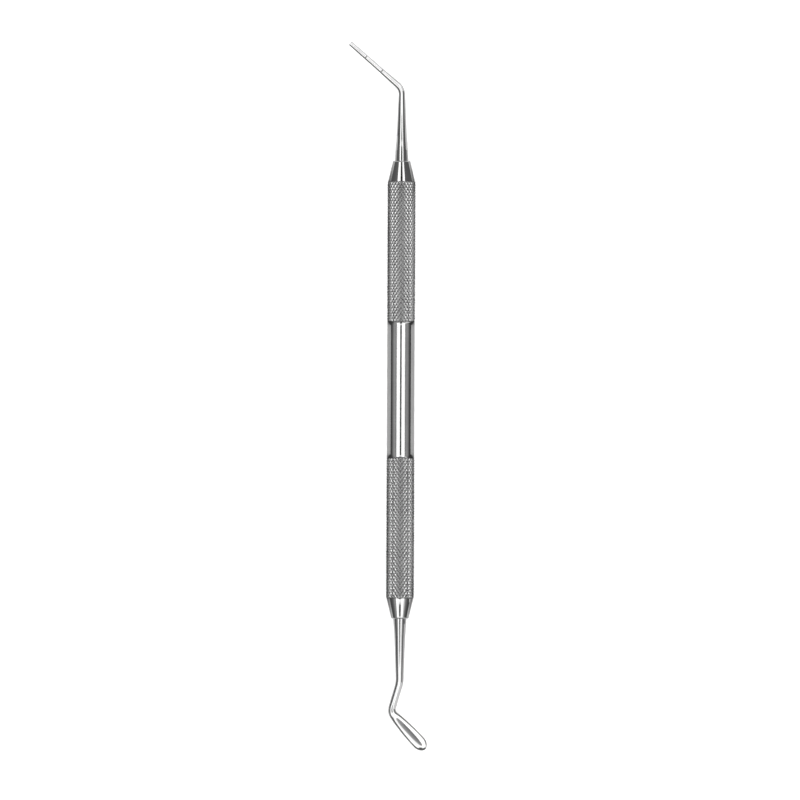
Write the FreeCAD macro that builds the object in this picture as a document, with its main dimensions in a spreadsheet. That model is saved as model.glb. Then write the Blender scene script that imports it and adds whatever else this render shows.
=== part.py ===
import FreeCAD, Part
import math
import os

import Sketcher

# Double-ended dental instrument: a graduated plugger and a spatula on one hollow knurled handle.
#
# It comes apart into five pieces: the handle tube, the two nose cones pressed into its ends, and
# the two working ends, whose tangs are pressed through the cones.
#
# Frame, in millimetres: the origin is on the handle's axis at its mid-length, +X runs along the
# handle towards the plugger, both bent ends lie in the XY plane, and +Z is square to that plane.
# Each cone and each working end is drawn in its own frame, with its origin at the centre of the
# nose face and +X out of the handle, and its Placement puts it on the handle.

# Driving dimensions, in millimetres and degrees.
SIZES = {
    # Handle, measured between the two nose faces
    "handle_length": 108.7,
    "band_length": 32.3,
    "band_diameter": 6.5,
    "knurl_diameter": 6.65,
    "knurl_run_in": 0.6,
    "knurl_runout": 0.9,
    "bore_diameter": 4.5,
    # Nose cones
    "nose_length": 4.8,
    "nose_base_diameter": 6.3,
    "nose_end_diameter": 4.17,
    "nose_rim": 0.25,
    "spigot_length": 6.0,
    "tang_diameter": 2.4,
    "tang_length": 12.0,
    # Plugger: a tapered shank, one bend and a straight rod with ring grooves
    "root_diameter": 3.1,
    "plugger_collar_reach": 3.0,
    "plugger_collar_diameter": 2.9,
    "plugger_waist_reach": 9.0,
    "plugger_waist_diameter": 2.14,
    "plugger_bend_reach": 15.75,
    "plugger_bend_diameter": 1.5,
    "plugger_bend_radius": 3.0,
    "plugger_bend_angle": 48.8,
    "rod_length": 15.04,
    "rod_diameter": 1.18,
    "graduation": 5.0,
    "ring_width": 0.2,
    "ring_depth": 0.06,
    "rod_edge": 0.08,
    # Spatula: a tapered shank, a gentle bend one way, a sharp bend back and a crowned blade
    "spatula_collar_reach": 2.7,
    "spatula_collar_diameter": 2.8,
    "spatula_waist_reach": 11.0,
    "spatula_waist_diameter": 2.12,
    "gentle_bend_reach": 14.12,
    "gentle_bend_radius": 7.5,
    "gentle_bend_angle": 16.4,
    "neck_diameter": 1.84,
    "neck_length": 4.96,
    "sharp_bend_radius": 2.2,
    "sharp_bend_angle": 59.4,
    "blade_length": 10.83,
    "blade_width": 3.28,
    "blade_tip_thickness": 0.8,
    "tip_side_radius": 3.2,
    "tip_end_radius": 1.15,
}

# The blade's sections beyond its round root: share of the blade's length, share of its full width,
# thickness as a multiple of the tip's, and the thickness left at the rounded edges.
BLADE_SECTIONS = (
    (0.09, 0.725, 1.75, 1.00),
    (0.28, 0.865, 1.48, 0.92),
    (0.50, 0.950, 1.38, 0.86),
    (0.74, 1.000, 1.30, 0.80),
    (1.03, 0.970, 1.00, 0.62),
)
# A rounded edge's radius, and how far its arc stands out, as multiples of half the edge's thickness
EDGE_ROUNDING = 1.15
EDGE_BULGE = EDGE_ROUNDING - math.sqrt(EDGE_ROUNDING**2 - 1)

# Sketcher's numbers for its own origin and axes, and for the points of an edge
ORIGIN_POINT = (-1, 1)
HORIZONTAL_AXIS = -1
VERTICAL_AXIS = -2
START = 1
END = 2
CENTRE = 3

# The station where a piece's own frame begins
NOSE_FACE = ("0", "0", "0")
UP = FreeCAD.Vector(0, 0, 1)

doc = FreeCAD.newDocument("dental_instrument")
sheet = doc.addObject("Spreadsheet::Sheet", "Sizes")
for row, (alias, size) in enumerate(SIZES.items(), start=1):
    sheet.set(f"A{row}", alias)
    sheet.set(f"B{row}", str(size))
    sheet.setAlias(f"B{row}", alias)
doc.recompute()


def number(expression):
    """The value that an expression of the sheet's cells has now."""
    return float(sheet.evalExpression(expression))


# ---------------------------------------------------------------- bodies and sketches


def new_body(label, facing="0"):
    """A body whose own frame starts at a nose face: facing is 0 at the plugger's, 180 at the other."""
    body = doc.addObject("PartDesign::Body", label)
    body.Label = label
    body.Placement.Rotation = FreeCAD.Rotation(UP, 1)
    body.setExpression("Placement.Rotation.Angle", facing)
    body.setExpression("Placement.Base.x", f"cos({facing}) * Sizes.handle_length / 2")
    return body


def new_sketch(body, name, role, axis, offsets):
    """A sketch on one of the body's own origin planes, moved and turned by expressions."""
    sketch = body.newObject("Sketcher::SketchObject", name)
    plane = next(p for p in body.Origin.OriginFeatures if p.Role == role)
    sketch.AttachmentSupport = (plane, "")
    sketch.MapMode = "FlatFace"
    sketch.AttachmentOffset = FreeCAD.Placement(FreeCAD.Vector(), FreeCAD.Rotation(axis, 1))
    for target, expression in offsets.items():
        sketch.setExpression("AttachmentOffset." + target, expression)
    return sketch


def side_sketch(body, name, station=NOSE_FACE):
    """A sketch in the plane of the bends, with its X axis along the bar at a station.

    A station is three expressions: how far along X, how far along Y, and the bar's heading.
    """
    along, across, heading = station
    offsets = {"Base.x": along, "Base.y": across, "Rotation.Angle": heading}
    return new_sketch(body, name, "XY_Plane", UP, offsets)


def cross_sketch(body, name, station):
    """A sketch square to the bar at a station: its X axis is the bar's left, its Y axis is +Z."""
    along, across, heading = station
    offsets = {"Base.z": along, "Base.x": across, "Rotation.Angle": heading}
    return new_sketch(body, name, "YZ_Plane", FreeCAD.Vector(0, 1, 0), offsets)


def bind(sketch, kind, places, expression):
    """Add one dimension to a sketch and tie it to an expression."""
    index = sketch.addConstraint(Sketcher.Constraint(kind, *places, number(expression)))
    sketch.setExpression(f"Constraints[{index}]", expression)


def hold(sketch, edge, point, x, y):
    """Tie a point of an edge to the place that two expressions give."""
    for kind, axis, expression in (("DistanceX", VERTICAL_AXIS, x), ("DistanceY", HORIZONTAL_AXIS, y)):
        if expression == "0":
            sketch.addConstraint(Sketcher.Constraint("PointOnObject", edge, point, axis))
        else:
            bind(sketch, kind, (*ORIGIN_POINT, edge, point), expression)


def close_up(sketch, edges):
    """Join each edge's end to the next one's start, all the way round."""
    for edge, following in zip(edges, edges[1:] + edges[:1]):
        sketch.addConstraint(Sketcher.Constraint("Coincident", edge, END, following, START))


def polygon(sketch, corners):
    """A closed outline of straight edges through corners given as pairs of expressions."""
    places = [FreeCAD.Vector(number(x), number(y), 0) for x, y in corners]
    edges = [
        sketch.addGeometry(Part.LineSegment(a, b)) for a, b in zip(places, places[1:] + places[:1])
    ]
    close_up(sketch, edges)
    for edge, (x, y) in zip(edges, corners):
        hold(sketch, edge, START, x, y)


# ---------------------------------------------------------------- features


def turned(body, name, corners, station=NOSE_FACE, kind="PartDesign::Revolution"):
    """Material turned about the bar's axis, or a groove cut that way, from (along, radius) corners."""
    sketch = side_sketch(body, name + "_outline", station)
    polygon(sketch, corners)
    feature = body.newObject(kind, name)
    feature.Profile = sketch
    feature.ReferenceAxis = (sketch, ["H_Axis"])
    feature.Angle = 360
    sketch.Visibility = False
    return feature


def bent(body, name, station, diameter, radius, angle, side):
    """A round bar carried through a bend: side is 1 for a bend to the bar's left, -1 to its right."""
    sketch = cross_sketch(body, name + "_section", station)
    circle = sketch.addGeometry(Part.Circle(FreeCAD.Vector(), UP, 1))
    sketch.addConstraint(Sketcher.Constraint("Coincident", circle, CENTRE, *ORIGIN_POINT))
    bind(sketch, "Radius", (circle,), f"{diameter} / 2")
    pivot = side * number(radius)
    reach = side * number(diameter)
    axis_line = Part.LineSegment(FreeCAD.Vector(pivot, -reach, 0), FreeCAD.Vector(pivot, reach, 0))
    axis = sketch.addGeometry(axis_line, True)
    hold(sketch, axis, START, f"{side} * {radius}", f"-{side} * {diameter}")
    hold(sketch, axis, END, f"{side} * {radius}", f"{side} * {diameter}")
    feature = body.newObject("PartDesign::Revolution", name)
    feature.Profile = sketch
    feature.ReferenceAxis = (sketch, ["Axis0"])
    feature.setExpression("Angle", angle)
    sketch.Visibility = False
    return feature


def shank_corners(collar, waist, bend_reach, bend_diameter):
    """The outline of a tang and its tapering shank, from the tang's end to the first bend."""
    return [
        ("-Sizes.tang_length", "0"),
        ("-Sizes.tang_length", "Sizes.tang_diameter / 2"),
        ("0", "Sizes.tang_diameter / 2"),
        ("0", "Sizes.root_diameter / 2"),
        (f"Sizes.{collar}_reach", f"Sizes.{collar}_diameter / 2"),
        (f"Sizes.{waist}_reach", f"Sizes.{waist}_diameter / 2"),
        (bend_reach, f"{bend_diameter} / 2"),
        (bend_reach, "0"),
    ]


# ---------------------------------------------------------------- handle tube


def handle_tube():
    """The grip: a smooth band between two knurled lengths, drilled right through.

    The knurl is left as the cylinder over its crests, which rises from the band over its first
    half-diamond and rounds off towards the nose cone.
    """
    body = new_body("handle_tube")
    # Its sketch starts at the handle's mid-length, half a handle behind the nose face
    middle = ("-Sizes.handle_length / 2", "0", "0")
    half_tube = "(Sizes.handle_length / 2 - Sizes.nose_length)"
    crest = "Sizes.knurl_diameter / 2"
    runout = f"({half_tube} - Sizes.knurl_runout)"
    end_radius = "Sizes.nose_base_diameter / 2"
    band_end = "Sizes.band_length / 2"
    knurl_start = f"({band_end} + Sizes.knurl_run_in)"
    band = "Sizes.band_diameter / 2"
    bore = "Sizes.bore_diameter / 2"
    corners = [
        (f"-{half_tube}", bore),
        (f"-{half_tube}", end_radius),
        (f"-{runout}", crest),
        (f"-{knurl_start}", crest),
        (f"-{band_end}", band),
        (band_end, band),
        (knurl_start, crest),
        (runout, crest),
        (half_tube, end_radius),
        (half_tube, bore),
    ]
    turned(body, "grip", corners, middle)
    return body


# ---------------------------------------------------------------- nose cones


def nose_cone(label, facing):
    """A turned plug: the cone that closes the handle, with a spigot that presses into its bore."""
    body = new_body(label, facing)
    spigot_end = "-(Sizes.nose_length + Sizes.spigot_length)"
    tang = "Sizes.tang_diameter / 2"
    nose = "Sizes.nose_end_diameter / 2"
    corners = [
        (spigot_end, tang),
        (spigot_end, "Sizes.bore_diameter / 2"),
        ("-Sizes.nose_length", "Sizes.bore_diameter / 2"),
        ("-Sizes.nose_length", "Sizes.nose_base_diameter / 2"),
        ("-Sizes.nose_rim", nose),
        ("0", f"{nose} - Sizes.nose_rim"),
        ("0", tang),
    ]
    turned(body, "cone", corners)
    return body


# ---------------------------------------------------------------- plugger


def plugger_working_end():
    """Tang, tapered shank, one bend and the straight rod with its ring grooves and flat end."""
    body = new_body("plugger_working_end")
    bend_diameter = "Sizes.plugger_bend_diameter"
    reach = "Sizes.plugger_bend_reach"
    radius = "Sizes.plugger_bend_radius"
    angle = "Sizes.plugger_bend_angle"
    turned(body, "shank", shank_corners("plugger_collar", "plugger_waist", reach, bend_diameter))
    bent(body, "bend", (reach, "0", "0"), bend_diameter, radius, angle, 1)

    rod_start = (f"{reach} + {radius} * sin({angle})", f"{radius} * (1 - cos({angle}))", angle)
    rod = "Sizes.rod_diameter / 2"
    second_ring = "(Sizes.rod_length - 2 * Sizes.graduation)"
    corners = [
        ("0", "0"),
        ("0", f"{bend_diameter} / 2"),
        (second_ring, rod),
        ("Sizes.rod_length - Sizes.rod_edge", rod),
        ("Sizes.rod_length", f"{rod} - Sizes.rod_edge"),
        ("Sizes.rod_length", "0"),
    ]
    rod_feature = turned(body, "rod", corners, rod_start)
    for count in (1, 2):
        ring = f"(Sizes.rod_length - {count} * Sizes.graduation)"
        # A V whose sides go on past the rod's surface, where it is as wide as the ring
        outside = f"{rod} + Sizes.ring_depth"
        corners = [
            (ring, f"{rod} - Sizes.ring_depth"),
            (f"{ring} - Sizes.ring_width", outside),
            (f"{ring} + Sizes.ring_width", outside),
        ]
        groove = turned(body, f"ring_{count}", corners, rod_start, "PartDesign::Groove")
    doc.recompute()
    if not groove.Shape.Volume < rod_feature.Shape.Volume:
        raise RuntimeError("the ring grooves cut nothing")
    return body


# ---------------------------------------------------------------- spatula


def blade_section(body, name, station, corner_x, corner_y, crown_radius, edge_radius):
    """A closed section of four arcs: two crowned faces and two rounded edges."""
    sketch = cross_sketch(body, name, station)
    half = number(corner_x)
    edge = number(corner_y)
    crown = number(crown_radius)
    rounding = number(edge_radius)
    rise = edge + crown - (crown**2 - half**2) ** 0.5
    bulge = half + rounding - (rounding**2 - edge**2) ** 0.5
    spots = [(half, -edge), (bulge, 0), (half, edge), (0, rise), (-half, edge), (-bulge, 0)]
    spots += [(-half, -edge), (0, -rise), (half, -edge)]
    spots = [FreeCAD.Vector(x, y, 0) for x, y in spots]
    edges = [sketch.addGeometry(Part.Arc(*spots[i : i + 3])) for i in (0, 2, 4, 6)]
    close_up(sketch, edges)
    signs = ((1, -1), (1, 1), (-1, 1), (-1, -1))
    for arc, (across, up), arc_radius in zip(edges, signs, (edge_radius, crown_radius) * 2):
        hold(sketch, arc, START, f"{across} * ({corner_x})", f"{up} * ({corner_y})")
        bind(sketch, "Radius", (arc,), arc_radius)
    sketch.Visibility = False
    return sketch


def blade_sections(start):
    """The blade's sections as the arguments of blade_section, from its round root to past its tip."""
    along, across, heading = start
    root = "(Sizes.neck_diameter / 2)"
    yield start, f"{root} * cos(45)", f"{root} * sin(45)", root, root
    for reach, width, thickness, edge_share in BLADE_SECTIONS:
        station = (
            f"{along} + {reach} * Sizes.blade_length * cos({heading})",
            f"{across} + {reach} * Sizes.blade_length * sin({heading})",
            heading,
        )
        edge = f"({edge_share} * Sizes.blade_tip_thickness / 2)"
        corner_x = f"({width} * Sizes.blade_width / 2 - {EDGE_BULGE} * {edge})"
        rise = f"({thickness} * Sizes.blade_tip_thickness / 2 - {edge})"
        crown_radius = f"({corner_x} ^ 2 + {rise} ^ 2) / (2 * {rise})"
        yield station, corner_x, edge, crown_radius, f"{EDGE_ROUNDING} * {edge}"


def trim_tip(body, start):
    """Cut the blade's end to a rounded outline: one arc over the tip and a larger arc each side."""
    sketch = side_sketch(body, "tip_outline", start)
    half = number("Sizes.blade_width / 2")
    side_radius = number("Sizes.tip_side_radius")
    end_radius = number("Sizes.tip_end_radius")
    end_centre = number("Sizes.blade_length - Sizes.tip_end_radius")
    # The arcs meet on the line through their centres, which leans from the blade's axis by this much
    lean = math.asin((side_radius - half) / (side_radius - end_radius))
    side_centre = end_centre - (side_radius - end_radius) * math.cos(lean)
    arcs = (
        (side_centre, side_radius - half, side_radius, -math.pi / 2, -lean),
        (end_centre, 0, end_radius, -lean, lean),
        (side_centre, half - side_radius, side_radius, lean, math.pi / 2),
    )
    lower, nose, upper = (
        sketch.addGeometry(Part.ArcOfCircle(Part.Circle(FreeCAD.Vector(x, y, 0), UP, size), *sweep))
        for x, y, size, *sweep in arcs
    )
    past = number("Sizes.blade_length + Sizes.blade_width")
    wide = 2 * half
    rim = [(side_centre, half), (side_centre, wide), (past, wide), (past, -wide)]
    rim = [FreeCAD.Vector(x, y, 0) for x, y in rim + [(side_centre, -wide), (side_centre, -half)]]
    lines = [sketch.addGeometry(Part.LineSegment(a, b)) for a, b in zip(rim, rim[1:])]

    sketch.addConstraint(Sketcher.Constraint("Tangent", lower, END, nose, START))
    sketch.addConstraint(Sketcher.Constraint("Tangent", nose, END, upper, START))
    for edge, size in ((lower, "side"), (nose, "end"), (upper, "side")):
        bind(sketch, "Radius", (edge,), f"Sizes.tip_{size}_radius")
    hold(sketch, nose, CENTRE, "Sizes.blade_length - Sizes.tip_end_radius", "0")
    for edge, point, side in ((lower, START, -1), (upper, END, 1)):
        sketch.addConstraint(Sketcher.Constraint("Vertical", edge, CENTRE, edge, point))
        bind(sketch, "DistanceY", (*ORIGIN_POINT, edge, point), f"{side} * Sizes.blade_width / 2")
    for edge, following in zip([upper] + lines, lines + [lower]):
        sketch.addConstraint(Sketcher.Constraint("Coincident", edge, END, following, START))
    for edge in (lines[0], lines[4]):
        sketch.addConstraint(Sketcher.Constraint("Vertical", edge))
    for edge in (lines[1], lines[3]):
        sketch.addConstraint(Sketcher.Constraint("Horizontal", edge))
    outer = "Sizes.blade_length + Sizes.blade_width"
    hold(sketch, lines[2], START, outer, "Sizes.blade_width")
    hold(sketch, lines[2], END, outer, "-Sizes.blade_width")
    sketch.Visibility = False

    pocket = body.newObject("PartDesign::Pocket", "rounded_tip")
    pocket.Profile = sketch
    pocket.Type = "ThroughAll"
    pocket.Midplane = True
    return pocket


def spatula_working_end():
    """Tang, tapered shank, a gentle bend, a short neck, a sharp bend back and the crowned blade."""
    body = new_body("spatula_working_end", "180")
    neck = "Sizes.neck_diameter"
    reach = "Sizes.gentle_bend_reach"
    gentle_radius = "Sizes.gentle_bend_radius"
    gentle = "Sizes.gentle_bend_angle"
    sharp_radius = "Sizes.sharp_bend_radius"
    sharp = "Sizes.sharp_bend_angle"
    turned(body, "shank", shank_corners("spatula_collar", "spatula_waist", reach, neck))
    bent(body, "gentle_bend", (reach, "0", "0"), neck, gentle_radius, gentle, -1)

    neck_x = f"{reach} + {gentle_radius} * sin({gentle})"
    neck_y = f"-{gentle_radius} * (1 - cos({gentle}))"
    corners = [
        ("0", "0"),
        ("0", f"{neck} / 2"),
        ("Sizes.neck_length", f"{neck} / 2"),
        ("Sizes.neck_length", "0"),
    ]
    turned(body, "neck", corners, (neck_x, neck_y, f"-{gentle}"))

    bend_x = f"{neck_x} + Sizes.neck_length * cos({gentle})"
    bend_y = f"{neck_y} - Sizes.neck_length * sin({gentle})"
    bent(body, "sharp_bend", (bend_x, bend_y, f"-{gentle}"), neck, sharp_radius, sharp, 1)

    heading = f"({sharp} - {gentle})"
    blade_start = (
        f"{bend_x} + {sharp_radius} * (sin({gentle}) + sin({heading}))",
        f"{bend_y} + {sharp_radius} * (cos({gentle}) - cos({heading}))",
        heading,
    )
    sections = [
        blade_section(body, f"blade_section_{count}", *section)
        for count, section in enumerate(blade_sections(blade_start))
    ]
    blade = body.newObject("PartDesign::AdditiveLoft", "blade")
    blade.Profile = sections[0]
    blade.Sections = sections[1:]
    doc.recompute()
    whole = blade.Shape.Volume
    pocket = trim_tip(body, blade_start)
    doc.recompute()
    if not pocket.Shape.Volume < whole:
        raise RuntimeError("the rounded tip cuts nothing")
    return body


# ---------------------------------------------------------------- the whole instrument


def fault(body):
    """What is wrong with a finished body, or nothing."""
    if body.Shape.isNull():
        return "has no shape"
    if not body.Shape.isValid():
        return "is not valid"
    if len(body.Shape.Solids) != 1:
        return "is not one solid"
    return ""


bodies = [
    handle_tube(),
    nose_cone("plugger_nose_cone", "0"),
    nose_cone("spatula_nose_cone", "180"),
    plugger_working_end(),
    spatula_working_end(),
]
doc.recompute()
for thing in doc.Objects:
    if {"Invalid", "Error"} & set(thing.State):
        raise RuntimeError(f"{thing.Label} did not compute: {thing.State}")
for body in bodies:
    if fault(body):
        raise RuntimeError(f"{body.Label} {fault(body)}")
    print(f"{body.Label}: {body.Shape.Volume:.2f} cubic mm, {body.Shape.BoundBox}")

os.makedirs("parts", exist_ok=True)
for body in bodies:
    body.Shape.exportStep(f"parts/{body.Label}.step")
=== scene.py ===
import math

import bpy
import numpy as np
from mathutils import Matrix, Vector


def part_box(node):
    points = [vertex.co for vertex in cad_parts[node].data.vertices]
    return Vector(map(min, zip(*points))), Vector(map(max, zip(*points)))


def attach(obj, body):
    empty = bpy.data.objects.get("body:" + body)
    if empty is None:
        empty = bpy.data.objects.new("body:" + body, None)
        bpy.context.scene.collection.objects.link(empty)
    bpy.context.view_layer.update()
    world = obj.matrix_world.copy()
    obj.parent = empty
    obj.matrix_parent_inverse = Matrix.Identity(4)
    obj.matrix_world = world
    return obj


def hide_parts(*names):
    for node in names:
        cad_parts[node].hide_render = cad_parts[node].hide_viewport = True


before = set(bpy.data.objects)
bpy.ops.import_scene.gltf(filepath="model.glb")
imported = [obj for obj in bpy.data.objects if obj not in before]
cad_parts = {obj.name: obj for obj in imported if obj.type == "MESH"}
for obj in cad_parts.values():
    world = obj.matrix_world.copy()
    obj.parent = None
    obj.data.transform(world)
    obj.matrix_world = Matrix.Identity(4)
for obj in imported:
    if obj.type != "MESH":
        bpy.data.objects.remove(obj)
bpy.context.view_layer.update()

# Double-ended dental instrument: a graduated plugger and a spatula on one knurled handle.
#
# Everything is in metres in the CAD frame: the origin is on the handle's axis at its mid-length,
# +X runs along the handle towards the plugger, both bent ends lie in the XY plane, +Z is up.
# Each of the five CAD pieces is stood for by a finer mesh with the same sizes. Every mesh carries
# two attributes for its material: "straight", where a point would lie if its bar weren't bent,
# and a wear value, from 0 in the bottom of a cut to 1 on the open surface; on the knurl that value
# holds painted shade instead, darker on the flanks facing away from the band. The grip has a
# third, "cut", which is 1 on its knurl and 0 elsewhere; a piece without it counts as 0.

MM = 0.001
MICRON = 1e-6

# ---------------------------------------------------------------- sizes

# The outer faces of the nose cones, the tube's end and the surface under the handle
NOSE_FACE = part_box("plugger_nose_cone")[1].x
TUBE_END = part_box("handle_tube")[1].x
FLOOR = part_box("handle_tube")[0].z

BAND_LENGTH = 32.3 * MM
BAND_RADIUS = 3.25 * MM
BORE_RADIUS = 2.25 * MM
NOSE_BASE_RADIUS = 3.15 * MM
NOSE_END_RADIUS = 2.085 * MM
SPIGOT_LENGTH = 6.0 * MM
TANG_RADIUS = 1.2 * MM
TANG_LENGTH = 12.0 * MM
ROOT_RADIUS = 1.55 * MM

KNURL_CREST = 3.325 * MM
# Diamonds round the bar
KNURL_STARTS = 25
KNURL_PITCH = 1.273 * MM
KNURL_DEPTH = 0.25 * MM
# The share of a diamond's height that its flat crest takes off
KNURL_FLAT = 0.06
# Over this length the crests come down to the nose cone's diameter
KNURL_RUNOUT = 1.0 * MM
# Mesh cells in a pitch, each way
KNURL_STEPS = 8

AROUND_KNURL = KNURL_STARTS * KNURL_STEPS
AROUND_CONE = 160
AROUND_BAR = 96

# Distances between the rings of a mesh, along its bar
BAND_STEP = 0.8 * MM
BORE_STEP = 3.0 * MM
BAR_STEP = 0.25 * MM
BLADE_STEP = 0.15 * MM
ROD_BEND_STEP = 0.08 * MM
SHARP_BEND_STEP = 0.06 * MM

# Edges turning by more than this many degrees are drawn sharp
SHARP_ANGLE = 35

# An allowance for rounding in a distance along a line
ROUNDING = 1e-12

# ---------------------------------------------------------------- curves and centrelines


def through(stations):
    """A smooth curve through (place, value) stations that never overshoots them."""
    places, values = (np.array(column, float) for column in zip(*stations))
    steps = np.diff(places)
    slopes = np.diff(values) / steps
    tangents = np.zeros(len(places))
    tangents[0], tangents[-1] = slopes[0], slopes[-1]
    for k in range(1, len(places) - 1):
        before, after = slopes[k - 1], slopes[k]
        if before * after > 0:
            # The harmonic mean of both slopes, weighted by the steps
            weight = 2 * steps[k] + steps[k - 1]
            other = steps[k] + 2 * steps[k - 1]
            tangents[k] = (weight + other) / (weight / before + other / after)

    def value(place):
        k = int(np.clip(np.searchsorted(places, place) - 1, 0, len(steps) - 1))
        share = min(max((place - places[k]) / steps[k], 0.0), 1.0)
        rise = values[k + 1] - values[k]
        lead = tangents[k] * steps[k] - rise
        trail = rise - tangents[k + 1] * steps[k]
        curve = share * (1 - share) * ((1 - share) * lead + share * trail)
        return float(values[k] + share * rise + curve)

    return value


class Centreline:
    """A line in the XY plane made of straight runs and arcs, from a start point with a heading."""

    def __init__(self, x, y, heading):
        self.legs = []
        self.end = (x, y, heading)
        self.length = 0.0

    def _add(self, length, curvature):
        self.legs.append((self.length, *self.end, curvature))
        self.length += length
        self.end = self.at(self.length)
        return self

    def run(self, length):
        return self._add(length, 0.0)

    def turn(self, radius, degrees):
        """An arc to the left for a positive angle and to the right for a negative one."""
        return self._add(radius * math.radians(abs(degrees)), math.copysign(1 / radius, degrees))

    def at(self, s):
        """(x, y, heading) at a distance along the line."""
        start, x, y, heading, curvature = [leg for leg in self.legs if leg[0] <= s + ROUNDING][-1]
        done = s - start
        if not curvature:
            return x + done * math.cos(heading), y + done * math.sin(heading), heading
        new = heading + curvature * done
        x += (math.sin(new) - math.sin(heading)) / curvature
        y -= (math.cos(new) - math.cos(heading)) / curvature
        return x, y, new


def spaced(start, end, step):
    """Evenly spaced stations from start to end, with the end left out."""
    count = max(1, round(abs(end - start) / step))
    return [start + (end - start) * k / count for k in range(count)]


def between(value, low=0.0, high=1.0):
    return min(max(value, low), high)


# ---------------------------------------------------------------- meshes


def ring(line, s, half_width, half_depth=None, edge=None, crown=0.0, around=AROUND_BAR, wear_and_shade=1.0):
    """A closed section across a centreline: its points, where they'd be on a straight bar, its wear.

    It is an ellipse unless edge says how far in from each side the rounding reaches; the face
    left between the two rounded edges then has the curvature crown.
    """
    x, y, heading = line.at(s)
    half_depth = half_width if half_depth is None else half_depth
    edge = half_width if edge is None else min(edge, half_width)
    angle = np.arange(around) * 2 * math.pi / around - math.pi / 2
    across = half_width * np.cos(angle)
    into = np.clip((np.abs(across) - (half_width - edge)) / edge, 0, 1)
    fall = (half_depth - crown * half_width**2 / 2) * (1 - np.sqrt(1 - into**2))
    up = np.sign(np.sin(angle)) * (half_depth - crown * across**2 / 2 - fall)
    points = np.stack(
        [x - across * math.sin(heading), y + across * math.cos(heading), up], axis=1
    )
    straight = np.stack([np.full(around, s), across, up], axis=1)
    return points, straight, np.full(around, wear_and_shade)


def add_attribute(mesh, name, kind, field, values):
    """A value or a vector for each point of a mesh, for its material to read."""
    layer = mesh.attributes.new(name, kind, "POINT")
    layer.data.foreach_set(field, values.astype(np.float32).ravel())


def skin(name, rings, closed=False, diagonals=None, sharp=SHARP_ANGLE):
    """A closed mesh through rings of points: capped at both ends, or joined end to start.

    diagonals(i), if given, says which way the diagonal of each cell after ring i runs, or is None
    for a row of whole cells. No edge is marked sharp if sharp is 0.
    """
    around = len(rings[0][0])
    count = len(rings)
    points, straight, wear_and_shade = (np.concatenate(part) for part in zip(*rings))
    faces = []
    for i in range(count if closed else count - 1):
        here, there = i * around, (i + 1) % count * around
        split = diagonals(i) if diagonals else None
        for j in range(around):
            k = (j + 1) % around
            a, b, c, d = here + j, here + k, there + k, there + j
            if split is None:
                faces.append((a, b, c, d))
            elif split[j]:
                faces += [(a, b, c), (a, c, d)]
            else:
                faces += [(a, b, d), (b, c, d)]
    if not closed:
        faces.append(tuple(range(around - 1, -1, -1)))
        faces.append(tuple(range((count - 1) * around, count * around)))
    mesh = bpy.data.meshes.new(name)
    mesh.from_pydata(points.tolist(), [], faces)
    add_attribute(mesh, "straight", "FLOAT_VECTOR", "vector", straight)
    add_attribute(mesh, "wear_and_shade", "FLOAT", "value", wear_and_shade)
    # The triangles are the knurl's flat flanks
    mesh.polygons.foreach_set("use_smooth", [len(face) > 3 for face in faces])
    if sharp:
        mesh.set_sharp_from_angle(angle=math.radians(sharp))
    mesh.update()
    piece = bpy.data.objects.new(name, mesh)
    bpy.context.scene.collection.objects.link(piece)
    return piece


def finish_piece(piece, node, material):
    """The piece stands for a CAD node, which is hidden, rides on its body and takes its material."""
    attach(piece, "root")
    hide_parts(node)
    piece.data.materials.append(material)


# ---------------------------------------------------------------- handle tube

# How far the tube's edges are broken, and the wear there: at its ends and beside the knurl
TUBE_EDGE = 0.05 * MM
TUBE_EDGE_WORN = 0.6
BAND_EDGE_WORN = 0.35
# The bore's first ring lies this far inside the tube's end
BORE_START = 0.5 * MM
# Painted shade on the knurl, given on the wear scale: its middle level, and how much lighter a
# flank facing the band and how much darker one facing away is painted
FLANK_PAINTED_SHADE = 0.42
FLANK_SHADE_CONTRAST = 0.40


def knurl(around, along):
    """The diamond knurl at a place counted in pitches each way.

    It gives the height, 0 to 1, and which way the place faces: 1 away from the band, -1 towards
    it, and 0 on a crease.
    """
    u = around - math.floor(around)
    v = along - math.floor(along)
    # Diamonds centre on whole places and on half places both ways
    middle = abs(u - 0.5) + abs(v - 0.5)
    corner = min(u, 1 - u) + min(v, 1 - v)
    height = min((1 - 2 * min(middle, corner)) / (1 - KNURL_FLAT), 1.0)
    if middle == corner:
        return height, 0
    off = v - 0.5 if middle < corner else v - round(v)
    return height, (off > 0) - (off < 0)


def knurl_split(row):
    """For each cell of a knurl row, whether its diagonal rises with the turn and the row together.

    A cell on a groove has its diagonal across the groove, which leaves small steps in its floor.
    """
    v = (row + 0.5) / KNURL_STEPS
    split = []
    for column in range(AROUND_KNURL):
        u = (column + 0.5) / KNURL_STEPS
        split.append((u % 0.5 < 0.25) != (v % 0.5 < 0.25))
    return split


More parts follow.
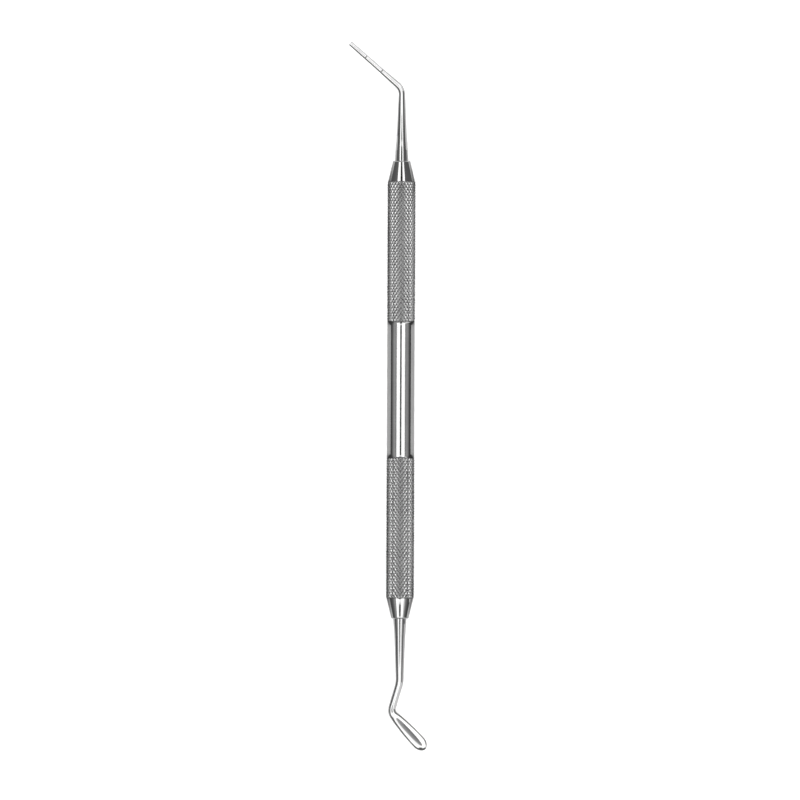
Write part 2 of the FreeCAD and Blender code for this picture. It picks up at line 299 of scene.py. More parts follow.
def handle_tube():
    """The grip: a smooth band between two diamond-knurled lengths, drilled right through."""
    axis = Centreline(-TUBE_END, 0, 0).run(2 * TUBE_END)
    half_band = BAND_LENGTH / 2
    row = KNURL_PITCH / KNURL_STEPS
    rows = int((TUBE_END - half_band) / row)
    rings = []
    # For each ring, the step of the knurl that it lies on, counted from the band, or None
    knurl_steps = []

    def plain(x, radius, wear_and_shade=1.0):
        rings.append(ring(axis, x + TUBE_END, radius, around=AROUND_KNURL, wear_and_shade=wear_and_shade))
        knurl_steps.append(None)

    def knurled(x, step):
        points, straight, _ = ring(axis, x + TUBE_END, 1.0, around=AROUND_KNURL)
        places = [column / KNURL_STEPS for column in range(AROUND_KNURL)]
        height, facing = np.array([knurl(place, step / KNURL_STEPS) for place in places]).T
        # Towards the nose cone the crests are turned down to the cone's own diameter
        left = min((TUBE_END - abs(x)) / KNURL_RUNOUT, 1.0)
        room = math.sqrt(max(1 - (1 - left) ** 2, 0))
        limit = NOSE_BASE_RADIUS + (KNURL_CREST - NOSE_BASE_RADIUS) * room
        radius = np.minimum(KNURL_CREST - KNURL_DEPTH * (1 - height), limit)
        points[:, 1:] *= radius[:, None]
        straight[:, 1:] *= radius[:, None]
        # Painted shade: the flanks facing away from the band are made darker and rougher, and those
        # facing it lighter and smoother, through the same value that marks wear
        rings.append((points, straight, FLANK_PAINTED_SHADE - FLANK_SHADE_CONTRAST * facing))
        knurl_steps.append(step)

    plain(-TUBE_END, BORE_RADIUS)
    plain(-TUBE_END, NOSE_BASE_RADIUS - TUBE_EDGE)
    plain(-TUBE_END + TUBE_EDGE / 2, NOSE_BASE_RADIUS - TUBE_EDGE / 4, TUBE_EDGE_WORN)
    for step in range(rows, 0, -1):
        knurled(-half_band - step * row, step)
    plain(-half_band, BAND_RADIUS - TUBE_EDGE, BAND_EDGE_WORN)
    for x in spaced(-half_band + TUBE_EDGE, half_band - TUBE_EDGE, BAND_STEP):
        plain(x, BAND_RADIUS)
    plain(half_band - TUBE_EDGE, BAND_RADIUS)
    plain(half_band, BAND_RADIUS - TUBE_EDGE, BAND_EDGE_WORN)
    for step in range(1, rows + 1):
        knurled(half_band + step * row, step)
    plain(TUBE_END - TUBE_EDGE / 2, NOSE_BASE_RADIUS - TUBE_EDGE / 4, TUBE_EDGE_WORN)
    plain(TUBE_END, NOSE_BASE_RADIUS - TUBE_EDGE)
    plain(TUBE_END, BORE_RADIUS)
    for x in spaced(TUBE_END - BORE_START, -TUBE_END, BORE_STEP):
        plain(x, BORE_RADIUS)

    def diagonals(i):
        here, there = knurl_steps[i], knurl_steps[(i + 1) % len(knurl_steps)]
        if here is None or there is None:
            return None
        split = knurl_split(min(here, there))
        return split if there > here else [not way for way in split]

    piece = skin("knurled_grip", rings, closed=True, diagonals=diagonals, sharp=0)
    cut = np.repeat([float(step is not None) for step in knurl_steps], AROUND_KNURL)
    add_attribute(piece.data, "cut", "FLOAT", "value", cut)
    return piece


# ---------------------------------------------------------------- nose cones

CONE_RIM = 0.30 * MM
# The narrow groove between the cone's face and the shank
CONE_SEAM = 0.06 * MM
# The cone's edge at the tube is broken this deep, and the cone is straight from this far out
CONE_BREAK = 0.06 * MM
CONE_START = 0.12 * MM
SPIGOT_CHAMFER = 0.1 * MM


def nose_cone(name, way):
    """A turned plug: the cone with a rounded rim, a narrow face round the shank, and its spigot."""
    heading = 0 if way > 0 else math.pi
    length = NOSE_FACE - TUBE_END
    back = length + SPIGOT_LENGTH
    axis = Centreline(way * (NOSE_FACE - back), 0, heading).run(back)
    rim_start = length - CONE_RIM
    slope = (NOSE_BASE_RADIUS - NOSE_END_RADIUS) / rim_start
    face_edge = ROOT_RADIUS + CONE_SEAM
    # (distance out from the tube's end, radius, wear)
    profile = [
        (-SPIGOT_LENGTH, TANG_RADIUS, 1),
        (-SPIGOT_LENGTH, BORE_RADIUS - SPIGOT_CHAMFER, 1),
        (-SPIGOT_LENGTH + SPIGOT_CHAMFER, BORE_RADIUS, 1),
        (-0.02 * MM, BORE_RADIUS, 1),
        (0.0, NOSE_BASE_RADIUS - CONE_BREAK, 0.3),
        (0.05 * MM, NOSE_BASE_RADIUS - 0.01 * MM, 0.8),
    ]
    for x in spaced(CONE_START, rim_start, BAR_STEP):
        profile.append((x, NOSE_BASE_RADIUS - slope * x, 1))
    for degrees in range(0, 90, 10):
        turn = math.radians(degrees)
        out = rim_start + CONE_RIM * math.sin(turn)
        profile.append((out, NOSE_END_RADIUS - CONE_RIM * (1 - math.cos(turn)), 1))
    profile += [
        (length, NOSE_END_RADIUS - 1.05 * CONE_RIM, 1),
        (length, face_edge, 0.5),
        (length - 1.5 * CONE_SEAM, face_edge - 0.4 * CONE_SEAM, 0.0),
        (length - 2.5 * CONE_SEAM, TANG_RADIUS, 0.0),
    ]
    rings = [
        ring(axis, x + SPIGOT_LENGTH, radius, around=AROUND_CONE, wear_and_shade=wear_and_shade)
        for x, radius, wear_and_shade in profile
    ]
    return skin(name, rings, closed=True)


# ---------------------------------------------------------------- working ends

TANG_CHAMFER = 0.2 * MM
# The step from the tang up to the shank's root lies just inside the cone's face
ROOT_STEP = 0.1 * MM


def tang_rings(line):
    """The hidden tang inside the nose cone, with a small lead-in at its end."""
    return [
        ring(line, 0.0, TANG_RADIUS - TANG_CHAMFER),
        ring(line, TANG_CHAMFER, TANG_RADIUS),
        ring(line, TANG_LENGTH - 1.5 * ROOT_STEP, TANG_RADIUS),
        ring(line, TANG_LENGTH - ROOT_STEP, ROOT_RADIUS - 0.02 * MM, wear_and_shade=0.0),
        ring(line, TANG_LENGTH, ROOT_RADIUS, wear_and_shade=0.3),
    ]


# Diameters of the plugger, in mm, at distances from its nose face
PLUGGER_SHANK = (
    (0, 3.10),
    (2.8, 2.94),
    (5.0, 2.56),
    (7.1, 2.33),
    (9.2, 2.12),
    (11.4, 1.97),
    (13.5, 1.80),
    (15.75, 1.58),
)
# and, along the rod, at distances back from its flat end
PLUGGER_ROD = (
    (15.04, 1.50),
    (13.5, 1.42),
    (12.0, 1.34),
    (10.0, 1.25),
    (8.0, 1.20),
    (4.0, 1.18),
    (0, 1.13),
)
PLUGGER_REACH = 15.75 * MM
PLUGGER_BEND = (3.0 * MM, 48.8)
ROD_LENGTH = 15.04 * MM
ROD_EDGE = 0.08 * MM
GRADUATION = 5.0 * MM
RING_WIDTH = 0.24 * MM
RING_DEPTH = 0.07 * MM


def plugger_working_end():
    """Tang, tapered shank, one bend and the straight rod with two ring grooves and a flat end."""
    bend_start = TANG_LENGTH + PLUGGER_REACH
    line = Centreline(NOSE_FACE - TANG_LENGTH, 0, 0).run(bend_start)
    line.turn(*PLUGGER_BEND).run(ROD_LENGTH)
    end = line.length
    bend_end = end - ROD_LENGTH
    edge_start = end - ROD_EDGE
    stations = [(TANG_LENGTH + place * MM, size * MM / 2) for place, size in PLUGGER_SHANK]
    stations += [(end - place * MM, size * MM / 2) for place, size in PLUGGER_ROD]
    radius = through(stations)
    grooves = [end - count * GRADUATION for count in (2, 1)]
    places = spaced(TANG_LENGTH + ROOT_STEP, bend_start, BAR_STEP)
    places += spaced(bend_start, bend_end, ROD_BEND_STEP)
    here = bend_end
    for groove in grooves:
        places += spaced(here, groove - RING_WIDTH, BAR_STEP)
        places += spaced(groove - RING_WIDTH, groove + RING_WIDTH, RING_WIDTH / 10)
        here = groove + RING_WIDTH
    places += spaced(here, edge_start, BAR_STEP)
    rings = tang_rings(line)
    for s in places:
        # A flat-bottomed cut with sloping sides, at full depth over the middle half of its width
        off = min(abs(s - groove) for groove in grooves) / (RING_WIDTH / 2)
        cut = between(2 * (1 - off))
        rings.append(ring(line, s, radius(s) - cut * RING_DEPTH, wear_and_shade=1 - cut))
    for degrees in range(0, 105, 15):
        turn = math.radians(degrees)
        s = edge_start + ROD_EDGE * math.sin(turn)
        rings.append(ring(line, s, radius(s) - ROD_EDGE * (1 - math.cos(turn))))
    return skin("plugger", rings)


# Diameters of the spatula's shank, in mm, at distances from its nose face
SPATULA_SHANK = (
    (0, 3.10),
    (2.7, 2.80),
    (5.5, 2.50),
    (8.4, 2.30),
    (11.3, 2.10),
    (14.1, 1.92),
    (17.0, 1.82),
)
SPATULA_REACH = 14.12 * MM
GENTLE_BEND = (7.5 * MM, -16.4)
NECK_LENGTH = 4.96 * MM
SHARP_BEND = (2.2 * MM, 59.4)
BLADE_LENGTH = 10.83 * MM
# The round neck starts to widen this far into the sharp bend
FLARE_START = 0.5 * MM
# The blade's width, in mm, at distances from the sharp bend's end, up to where it is widest
BLADE_WIDTHS = ((0, 2.185), (0.9, 2.45), (2.8, 2.80), (5.2, 3.15), (7.25, 3.28))
TIP_LENGTH = 2.45 * MM
TIP_STEPS = 48
# Half the blade's thickness, in mm, at distances from the start of the sharp bend
BLADE_DEPTH = (
    (0, 0.90),
    (1.2, 0.86),
    (2.28, 0.76),
    (3.2, 0.67),
    (5.0, 0.60),
    (7.5, 0.56),
    (10.0, 0.53),
    (11.2, 0.515),
    (11.8, 0.50),
    (12.1, 0.475),
    (12.5, 0.41),
    (12.8, 0.32),
    (13.11, 0.20),
)
# The blade's face starts this far before the sharp bend, and opens out of the round neck as a
# strip of these half widths, in mm, at distances from the bend's end
FACE_START = 1.2 * MM
FACE_STRIP = ((0, 0.25), (1.5, 0.55), (4.0, 0.95))
# The face's curvature, per metre: along the blade, this far into the tip, and at the very tip
BLADE_CROWN = 142.0
TIP_CROWN_START = (0.6 * MM, 190.0)
TIP_CROWN = 300.0
# How far in the blade's rounded edges reach, and its rounded tip, with half the thickness there
BLADE_EDGE = 0.42 * MM
TIP_BEVEL = 0.35 * MM
TIP_EDGE = 0.05 * MM


def spatula_working_end():
    """Tang, tapered shank, a gentle bend, a short neck, a sharp bend back and the crowned blade."""
    bend_start = TANG_LENGTH + SPATULA_REACH
    line = Centreline(TANG_LENGTH - NOSE_FACE, 0, math.pi).run(bend_start)
    line.turn(*GENTLE_BEND).run(NECK_LENGTH)
    sharp_start = line.length
    line.turn(*SHARP_BEND)
    blade_start = line.length
    line.run(BLADE_LENGTH)
    end = line.length
    tip_start = end - TIP_LENGTH
    face_start = sharp_start - FACE_START
    widest = blade_start + BLADE_WIDTHS[-1][0] * MM
    full_half_width = BLADE_WIDTHS[-1][1] * MM / 2

    shank = through([(TANG_LENGTH + place * MM, size * MM / 2) for place, size in SPATULA_SHANK])
    depth = through([(sharp_start + place * MM, size * MM) for place, size in BLADE_DEPTH])
    flare = through(
        [(sharp_start + FLARE_START, shank(sharp_start))]
        + [(blade_start + place * MM, size * MM / 2) for place, size in BLADE_WIDTHS]
    )
    strip = through(
        [(face_start, 0.0)]
        + [(blade_start + place * MM, size * MM) for place, size in FACE_STRIP]
        + [(widest, full_half_width - BLADE_EDGE)]
    )
    crown_step, step_crown = TIP_CROWN_START
    crown = through(
        [
            (face_start, 0.0),
            (blade_start, BLADE_CROWN),
            (widest, BLADE_CROWN),
            (tip_start + crown_step, step_crown),
            (end, TIP_CROWN),
        ]
    )

    def half_width(s):
        if s < sharp_start:
            return shank(s)
        if s < tip_start:
            return flare(s)
        share = (s - tip_start) / TIP_LENGTH
        return full_half_width * math.sqrt(max(1 - share**2, 0.0))

    def half_depth(s):
        if s < sharp_start:
            return shank(s)
        full = min(depth(s), half_width(s))
        bevel = between(1 - (end - s) / TIP_BEVEL)
        return TIP_EDGE + (full - TIP_EDGE) * math.sqrt(max(1 - bevel**2, 0.0))

    places = spaced(TANG_LENGTH + ROOT_STEP, bend_start, BAR_STEP)
    places += spaced(bend_start, sharp_start, BLADE_STEP)
    places += spaced(sharp_start, blade_start, SHARP_BEND_STEP)
    places += spaced(blade_start, tip_start, BLADE_STEP)
    places += [
        tip_start + TIP_LENGTH * math.sin(math.pi / 2 * k / TIP_STEPS) for k in range(TIP_STEPS)
    ]
    rings = tang_rings(line)
    for s in places:
        edge = max(half_width(s) - strip(s), BLADE_EDGE)
        rings.append(ring(line, s, half_width(s), half_depth(s), edge, crown(s)))
    return skin("spatula", rings)


# ---------------------------------------------------------------- materials

# What the fine lines and the slow cloud do to the steel's grey and roughness: lowest, highest
LINES_GREY = (0.94, 1.04)
LINES_ROUGH = (0.85, 1.2)
CLOUD_GREY = (0.95, 1.05)
CLOUD_ROUGH = (0.9, 1.12)
CLOUD_SCALE = (0.25, 0.6, 0.6)
# The share of its grey that steel keeps in the bottom of a cut, and on the knurl under its darkest
# painted shade, how much rougher it is there, and the wear from which it is clean
DIRT = 0.35
KNURL_DIRT_AND_SHADE = 0.14
DIRT_ROUGH = 1.6
CLEAN_FROM = 0.8
# How much lighter and rougher the knurl is than the open surface
CUT_GREY = 1.6
CUT_ROUGH = 2.0


def shader(name):
    """A new metal material, its node tree and its Principled shader."""
    material = bpy.data.materials.new(name)
    material.use_nodes = True
    tree = material.node_tree
    principled = tree.nodes["Principled BSDF"]
    principled.inputs["Metallic"].default_value = 1.0
    return material, tree, principled


def attribute(tree, name):
    """The outputs of a node that reads a mesh's attribute."""
    node = tree.nodes.new("ShaderNodeAttribute")
    node.attribute_name = name
    return node.outputs


def noise(tree, coordinates, scale, detail):
    """Noise over the unbent bar, stretched by a scale in cycles per mm along each axis."""
    stretch = tree.nodes.new("ShaderNodeVectorMath")
    stretch.operation = "MULTIPLY"
    stretch.inputs[1].default_value = [per_mm / MM for per_mm in scale]
    tree.links.new(coordinates, stretch.inputs[0])
    texture = tree.nodes.new("ShaderNodeTexNoise")
    texture.inputs["Scale"].default_value = 1.0
    texture.inputs["Detail"].default_value = detail
    tree.links.new(stretch.outputs["Vector"], texture.inputs["Vector"])
    return texture.outputs["Fac"]


def ranged(tree, value, low, high, start, end):
    """A value turned from start..end into low..high."""
    node = tree.nodes.new("ShaderNodeMapRange")
    for socket, number in zip(node.inputs[1:5], (start, end, low, high)):
        socket.default_value = number
    tree.links.new(value, node.inputs["Value"])
    return node.outputs["Result"]


def from_noise(tree, value, span, factor=1.0):
    """Noise turned into a span, times a factor; most of the noise lies between 0.3 and 0.7."""
    low, high = span
    return ranged(tree, value, low * factor, high * factor, 0.3, 0.7)


def math_node(tree, operation, *values):
    node = tree.nodes.new("ShaderNodeMath")
    node.operation = operation
    for socket, value in zip(node.inputs, values):
        tree.links.new(value, socket)
    return node.outputs[0]


def product(tree, first, *others):
    for other in others:
        first = math_node(tree, "MULTIPLY", first, other)
    return first


def bump(tree, height, distance, below=None):
    """A normal that a height bends, over the one below it."""
    node = tree.nodes.new("ShaderNodeBump")
    node.inputs["Distance"].default_value = distance
    node.inputs["Strength"].default_value = 1.0
    tree.links.new(height, node.inputs["Height"])
    if below:
        tree.links.new(below, node.inputs["Normal"])
    return node.outputs["Normal"]


def steel(name, grey, roughness, lines, line_depth, ripple, ripple_depth, dirt_and_shade=DIRT):
    """Stainless steel with fine tool lines, a slow ripple under them, darker unworn cuts and painted
    shade.

    grey is the colour of the open surface, and the last argument its share left in the bottom of a cut
    and on the knurl's flanks under their darkest painted shade; lines and ripple are cycles per mm
    along and across the bar, and their depths are in metres.
    """
    material, tree, principled = shader(name)
    coordinates = attribute(tree, "straight")["Vector"]
    wear_and_shade = attribute(tree, "wear_and_shade")["Fac"]
    cut = attribute(tree, "cut")["Fac"]
    fine = noise(tree, coordinates, lines, 3.0)
    slow = noise(tree, coordinates, ripple, 2.0)
    cloud = noise(tree, coordinates, CLOUD_SCALE, 3.0)

    shade = product(
        tree,
        from_noise(tree, fine, LINES_GREY, grey),
        from_noise(tree, cloud, CLOUD_GREY),
        # Darker in the bottoms of cuts; on the knurl's flanks facing away from the band this darkening
        # is painted shade
        ranged(tree, wear_and_shade, dirt_and_shade, 1.0, 0.0, CLEAN_FROM),
        ranged(tree, cut, 1.0, CUT_GREY, 0.0, 1.0),
    )
    colour = tree.nodes.new("ShaderNodeCombineColor")
    for channel in ("Red", "Green", "Blue"):
        tree.links.new(shade, colour.inputs[channel])
    tree.links.new(colour.outputs["Color"], principled.inputs["Base Color"])

    rough = product(
        tree,
        from_noise(tree, fine, LINES_ROUGH, roughness),
        from_noise(tree, cloud, CLOUD_ROUGH),
        ranged(tree, wear_and_shade, DIRT_ROUGH, 1.0, 0.0, CLEAN_FROM),
        ranged(tree, cut, 1.0, CUT_ROUGH, 0.0, 1.0),
    )
    tree.links.new(rough, principled.inputs["Roughness"])

    normal = bump(tree, fine, line_depth, bump(tree, slow, ripple_depth))
    tree.links.new(normal, principled.inputs["Normal"])
    return material


def turned_steel(name, grey, roughness, dirt_and_shade=DIRT):
    """Lines run round the bar, as a lathe leaves them."""
    lines, ripple = (9.0, 0.05, 0.05), (1.1, 0.1, 0.1)
    return steel(name, grey, roughness, lines, 0.4 * MICRON, ripple, 1.0 * MICRON, dirt_and_shade)


def drawn_steel(name, grey, roughness):
    """Faint lines run along the bar, as a polishing wheel leaves them."""
    lines, ripple = (0.15, 9.0, 9.0), (0.2, 0.8, 0.8)
    return steel(name, grey, roughness, lines, 0.08 * MICRON, ripple, 0.6 * MICRON)


# ---------------------------------------------------------------- floor and cards

FLOOR_HALF = 3.0
FLOOR_GREY = 0.86
# The card that the steel reflects in the floor's place lies this far under it
FLOOR_CARD_DROP = 0.02 * MM
# How bright it looks, by distance from the instrument's middle as a share of the handle's length
FLOOR_SHADE = (
    (0, 0.60),
    (0.135, 0.60),
    (0.17, 0.06),
    (0.44, 0.06),
    (0.49, 0.43),
    (0.53, 0.86),
    (1.0, 0.90),
)

# How bright a standing card looks, from the floor to its top: (share of its height, radiance)
LEFT_SHADE = (
    (0, 0.055),
    (0.11, 0.065),
    (0.26, 0.15),
    (0.42, 0.34),
    (0.60, 0.46),
    (0.85, 0.41),
    (0.97, 0.30),
)
RIGHT_SHADE = (
    (0, 0.03),
    (0.11, 0.04),
    (0.26, 0.14),
    (0.42, 0.33),
    (0.60, 0.42),
    (0.85, 0.38),
    (0.97, 0.28),
)
FOOT_SHADE = ((0, 0.14), (1, 0.20))
NEAR_SHADE = ((0, 0.13), (0.5, 0.14), (1, 0.20))
CONE_SHADE = ((0, 0.10), (0.31, 0.09), (0.51, 0.16), (0.74, 0.30), (1, 0.55))
# The rod's glow has strength 2, so it is twice as bright as this
ROD_GLOW = ((0, 0.85), (1, 0.85))
SHANK_GLOW = ((0, 0.75), (1, 0.70))
# Cards standing round the instrument, in mm: a name, the two (x, y) places that the card stands
# between, the heights of its foot and its top above the floor, its shade and its strength
ASIDE = 80
BELOW = -110
STANDING_CARDS = (
    ("left_card", (BELOW, ASIDE), (130, ASIDE), 0, 105, LEFT_SHADE, 1),
    ("right_card", (-82, -ASIDE), (62, -ASIDE), 0, 105, RIGHT_SHADE, 1),
    ("foot_card", (BELOW, -45), (BELOW, ASIDE), 0, 60, FOOT_SHADE, 1),
    ("left_cone_card", (-73, 20), (-53, 20), 0, 23.5, CONE_SHADE, 1),
    ("right_cone_card", (-65.5, -20), (-56, -20), 0, 23.5, CONE_SHADE, 1),
    ("collar_card", (52, 12), (57.5, 12), 1.8, 17.5, NEAR_SHADE, 1),
    ("shank_card", (57.5, 12), (61, 12), 3.8, 17.5, NEAR_SHADE, 1),
    ("rod_card", (61, 12), (72, 24.5), 0, 21, NEAR_SHADE, 1),
    ("right_collar_card", (52, -12), (57.5, -12), 1.8, 25.5, NEAR_SHADE, 1),
    ("taper_card", (57.5, -12), (74.5, -12), 5, 25.5, NEAR_SHADE, 1),
    ("rod_glow", (80.7, -12.3), (96.6, 5.8), 10, 25, ROD_GLOW, 2),
    ("shank_glow", (-56, -6), (-70.5, -6), 0, 4.9, SHANK_GLOW, 1),
)

# The gap cards overhead have strength 2, so they are twice as bright as their shades say
GAP_STRENGTH = 2.0
# Low strips over the shanks' roots, in mm: a name, where each starts and ends along X, its shade
LOW_GAP_HEIGHT = 0.050
LOW_GAP_HALF_WIDTH = (0.0125, 0.009)
LOW_GAPS = (
    ("plugger_gap", 54.5, 70.0, ((0, 0.02), (0.70, 0.03), (0.84, 0.30), (1, 0.85))),
    ("spatula_gap", -54.5, -74.5, ((0, 0.03), (0.50, 0.08), (0.68, 0.45), (0.76, 0.85))),
)
# The dark gap between the softboxes, and its shade from one end to the other
GAP_HEIGHT = 0.30
GAP_HALF_LENGTH = 0.40
GAP_HALF_WIDTH = 0.0385
GAP_WIDE = 1.4 * GAP_HALF_WIDTH
# Its half width at shares of its half length: narrow over the handle, wide beyond it
GAP_OUTLINE = (
    (-1, GAP_WIDE),
    (-0.5, GAP_WIDE),
    (-0.35, GAP_HALF_WIDTH),
    (0.12, GAP_HALF_WIDTH),
    (0.16, GAP_WIDE),
    (1, GAP_WIDE),
)
GAP_SHADE = (
    (0.00, 0.04),
    (0.26, 0.04),
    (0.28, 0.85),
    (0.345, 0.85),
    (0.36, 0.24),
    (0.40, 0.18),
    (0.42, 0.10),
    (0.44, 0.05),
    (0.575, 0.04),
    (0.59, 0.85),
    (0.65, 0.85),
    (0.67, 0.03),
    (0.74, 0.015),
    (1.00, 0.015),
)


def shade_ramp(tree, value, stops):
    """Grey levels, as given, at shares of a value from 0 to 1."""
    ramp = tree.nodes.new("ShaderNodeValToRGB")
    elements = ramp.color_ramp.elements
    while len(elements) < len(stops):
        elements.new(0.5)
    for element, (share, grey) in zip(elements, stops):
        element.position = share
        element.color = (grey, grey, grey, 1)
    tree.links.new(value, ramp.inputs["Fac"])
    return ramp.outputs["Color"]


def sheet_object(name, corners):
    """A flat stage piece with the given corners."""
    mesh = bpy.data.meshes.new(name)
    mesh.from_pydata(corners, [], [tuple(range(len(corners)))])
    item = bpy.data.objects.new(name, mesh)
    bpy.context.scene.collection.objects.link(item)
    return item


def level_square(name, z):
    half = FLOOR_HALF
    return sheet_object(name, [(-half, -half, z), (half, -half, z), (half, half, z), (-half, half, z)])


def glowing(item, axis, start, end, stops, strength=1.0, mirrored=False):
    """Make a sheet glow by its place from start to end along an axis, in reflections only.

    A mirrored one goes by its distance from the axis's origin, so it is the same on both sides.
    """
    material = bpy.data.materials.new(item.name + "_shade")
    material.use_nodes = True
    tree = material.node_tree
    tree.nodes.clear()
    glow = tree.nodes.new("ShaderNodeEmission")
    glow.inputs["Strength"].default_value = strength
    output = tree.nodes.new("ShaderNodeOutputMaterial")
    tree.links.new(glow.outputs[0], output.inputs["Surface"])
    place = tree.nodes.new("ShaderNodeNewGeometry")
    split = tree.nodes.new("ShaderNodeSeparateXYZ")
    tree.links.new(place.outputs["Position"], split.inputs[0])
    along = split.outputs[axis]
    if mirrored:
        along = math_node(tree, "ABSOLUTE", along)
    share = ranged(tree, along, 0.0, 1.0, start, end)
    tree.links.new(shade_ramp(tree, share, stops), glow.inputs["Color"])
    item.data.materials.append(material)
    item.visible_camera = False
    item.visible_diffuse = False
    item.visible_shadow = False
    item.visible_transmission = False


def floor():
    """Plain pale paper, which the steel doesn't reflect."""
    item = level_square("floor", FLOOR)
    material, _, principled = shader("floor_paper")
    principled.inputs["Metallic"].default_value = 0.0
    principled.inputs["Base Color"].default_value = (FLOOR_GREY, FLOOR_GREY, FLOOR_GREY, 1)
    principled.inputs["Roughness"].default_value = 0.9
    principled.inputs["Specular IOR Level"].default_value = 0.2
    item.data.materials.append(material)
    item.visible_glossy = False


def floor_card():
    """What the steel reflects instead: a grey card lying under the instrument."""
    item = level_square("floor_card", FLOOR - FLOOR_CARD_DROP)
    glowing(item, "X", 0.0, 2 * NOSE_FACE, FLOOR_SHADE, mirrored=True)


def standing_card(name, first, last, foot, top, stops, strength):
    """A card standing from one (x, y) place to another, all in mm, shaded from the floor up."""
    ends = [(x * MM, y * MM) for x, y in (first, last)]
    low, high = FLOOR + foot * MM, FLOOR + top * MM
    corners = [(*ends[0], low), (*ends[1], low), (*ends[1], high), (*ends[0], high)]
    glowing(sheet_object(name, corners), "Z", FLOOR, high, stops, strength)


def gap():
    """The dark gap between the softboxes."""
    side = [(share * GAP_HALF_LENGTH, half_width) for share, half_width in GAP_OUTLINE]
    corners = [(x, -y, GAP_HEIGHT) for x, y in side]
    corners += [(x, y, GAP_HEIGHT) for x, y in reversed(side)]
    item = sheet_object("gap", corners)
    glowing(item, "X", -GAP_HALF_LENGTH, GAP_HALF_LENGTH, GAP_SHADE, GAP_STRENGTH)


def low_gap(name, start, end, stops):
    """A low dark strip over the root of a shank, which fades out along it."""
    start, end, z = start * MM, end * MM, LOW_GAP_HEIGHT
    wide, narrow = LOW_GAP_HALF_WIDTH
    corners = [(start, wide, z), (end, narrow, z), (end, -narrow, z), (start, -wide, z)]
    glowing(sheet_object(name, corners), "X", start, end, stops, GAP_STRENGTH)


# ---------------------------------------------------------------- lights and camera

SOFTBOX_HEIGHT = 0.50
# Where a softbox's near and far edges are seen from the instrument, in degrees from straight up
SOFTBOX_FROM = 7.3
SOFTBOX_TO = 34.5
SOFTBOX_LENGTH = 0.80
SOFTBOX_RADIANCE = 1.8
FILL_HEIGHT = 1.2
FILL_SIZE = 1.6
FILL_RADIANCE = 3.4
# How bright the tent is by angle from straight up, in degrees
TENT_SHADE = ((0, 0.38), (9, 0.38), (17, 0.04), (32, 0.04), (46, 1.0), (180, 1.0))
TENT_RADIANCE = 1.0
# The openings beyond both ends: their radiance, how their side edges spread (the sine along X per
# sine to the side) and the sines along X over which they begin
OPENING_RADIANCE = 0.12
OPENING_SLOPE = 1.15
OPENING_FROM = (0.48, 0.56)
# The sines over which an opening's side edges and its lower edge, at the horizon, fade
OPENING_SIDE_FADE = (0.02, 0.08)
OPENING_LOW_FADE = (-0.02, 0.0)

CAMERA_HEIGHT = 0.35
CAMERA_CENTRE = (-2.434 * MM, 0.171 * MM)
CAMERA_SPAN = 0.190
# How far the handle leans right of upright in the picture, in radians
CAMERA_LEAN = 0.00403


def panel_light(name, length, width, radiance, y, height):
    """A level light panel facing down."""
    data = bpy.data.lights.new(name, "AREA")
    data.shape = "RECTANGLE"
    data.size = length
    data.size_y = width
    data.energy = radiance * math.pi * length * width
    item = bpy.data.objects.new(name, data)
    item.location = (0, y, height)
    item.visible_camera = False
    bpy.context.scene.collection.objects.link(item)
    return item


def softbox(name, side):
    """A long light panel on one side, along the instrument."""
    near = SOFTBOX_HEIGHT * math.tan(math.radians(SOFTBOX_FROM))
    far = SOFTBOX_HEIGHT * math.tan(math.radians(SOFTBOX_TO))
    middle = side * (near + far) / 2
    panel_light(name, SOFTBOX_LENGTH, far - near, SOFTBOX_RADIANCE, middle, SOFTBOX_HEIGHT)


def fill():
    """A wide soft light for the floor, which the steel doesn't reflect."""
    light = panel_light("fill", FILL_SIZE, FILL_SIZE, FILL_RADIANCE, 0, FILL_HEIGHT)
    light.visible_glossy = False


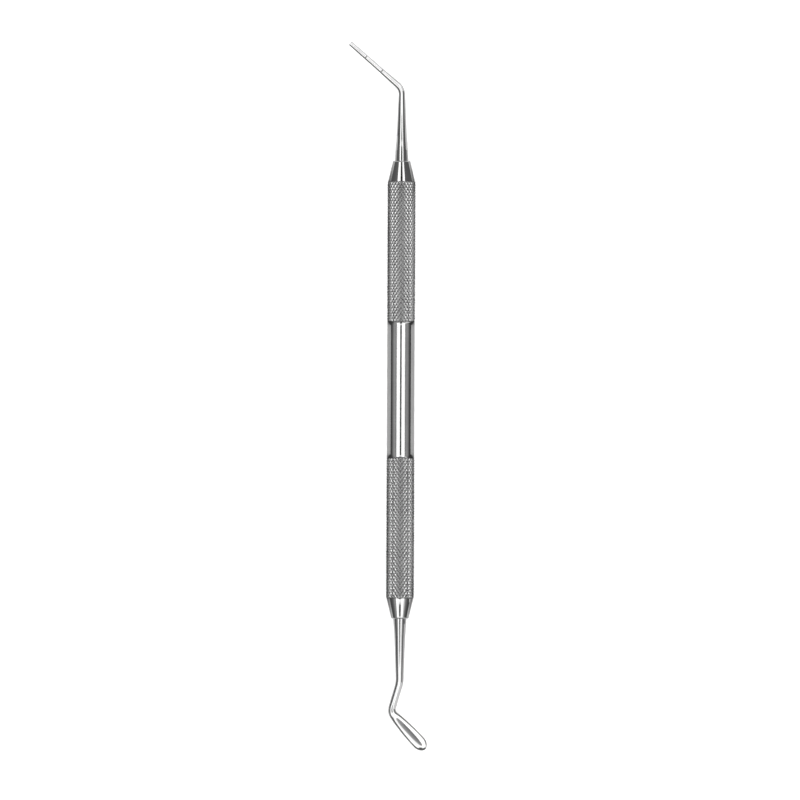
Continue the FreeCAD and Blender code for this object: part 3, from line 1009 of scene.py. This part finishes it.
def tent():
    """A white tent all round, darker overhead, and open beyond both ends of the instrument."""
    world = bpy.data.worlds.new("tent")
    world.use_nodes = True
    bpy.context.scene.world = world
    tree = world.node_tree
    background = tree.nodes["Background"]
    direction = tree.nodes.new("ShaderNodeTexCoord")
    split = tree.nodes.new("ShaderNodeSeparateXYZ")
    tree.links.new(direction.outputs["Generated"], split.inputs[0])
    angle = math_node(tree, "ARCCOSINE", split.outputs["Z"])
    share = ranged(tree, angle, 0.0, 1.0, 0.0, math.pi)
    stops = [(degrees / 180, grey) for degrees, grey in TENT_SHADE]
    tree.links.new(shade_ramp(tree, share, stops), background.inputs["Color"])

    along = math_node(tree, "ABSOLUTE", split.outputs["X"])
    aside = math_node(tree, "ABSOLUTE", split.outputs["Y"])
    aside = ranged(tree, aside, 0.0, OPENING_SLOPE, 0.0, 1.0)
    past_side = math_node(tree, "SUBTRACT", along, aside)
    opening = product(
        tree,
        ranged(tree, past_side, 0.0, 1.0, *OPENING_SIDE_FADE),
        ranged(tree, along, 0.0, 1.0, *OPENING_FROM),
        ranged(tree, split.outputs["Z"], 0.0, 1.0, *OPENING_LOW_FADE),
    )
    level = ranged(tree, opening, TENT_RADIANCE, OPENING_RADIANCE, 0.0, 1.0)
    tree.links.new(level, background.inputs["Strength"])


def camera():
    """Straight down, with the handle upright in the picture but for a lean of a quarter degree."""
    data = bpy.data.cameras.new("camera")
    data.type = "ORTHO"
    data.ortho_scale = CAMERA_SPAN
    item = bpy.data.objects.new("camera", data)
    item.location = (*CAMERA_CENTRE, CAMERA_HEIGHT)
    item.rotation_euler = (0, 0, CAMERA_LEAN - math.pi / 2)
    bpy.context.scene.collection.objects.link(item)
    bpy.context.scene.camera = item


# ---------------------------------------------------------------- the whole scene

# Name, grey and roughness of the open surface
# The handle's last argument sets how dark the painted shade on the knurl's flanks goes
handle_steel = turned_steel("handle_steel", 0.58, 0.10, KNURL_DIRT_AND_SHADE)
cone_steel = turned_steel("cone_steel", 0.58, 0.06)
plugger_steel = drawn_steel("plugger_steel", 0.60, 0.07)
spatula_steel = drawn_steel("spatula_steel", 0.60, 0.07)

finish_piece(handle_tube(), "handle_tube", handle_steel)
finish_piece(nose_cone("plugger_cone", 1), "plugger_nose_cone", cone_steel)
finish_piece(nose_cone("spatula_cone", -1), "spatula_nose_cone", cone_steel)
finish_piece(plugger_working_end(), "plugger_working_end", plugger_steel)
finish_piece(spatula_working_end(), "spatula_working_end", spatula_steel)

floor()
floor_card()
for settings in STANDING_CARDS:
    standing_card(*settings)
for settings in LOW_GAPS:
    low_gap(*settings)
gap()
softbox("left_softbox", 1)
softbox("right_softbox", -1)
fill()
tent()
camera()
bpy.context.scene.view_settings.view_transform = "Standard"
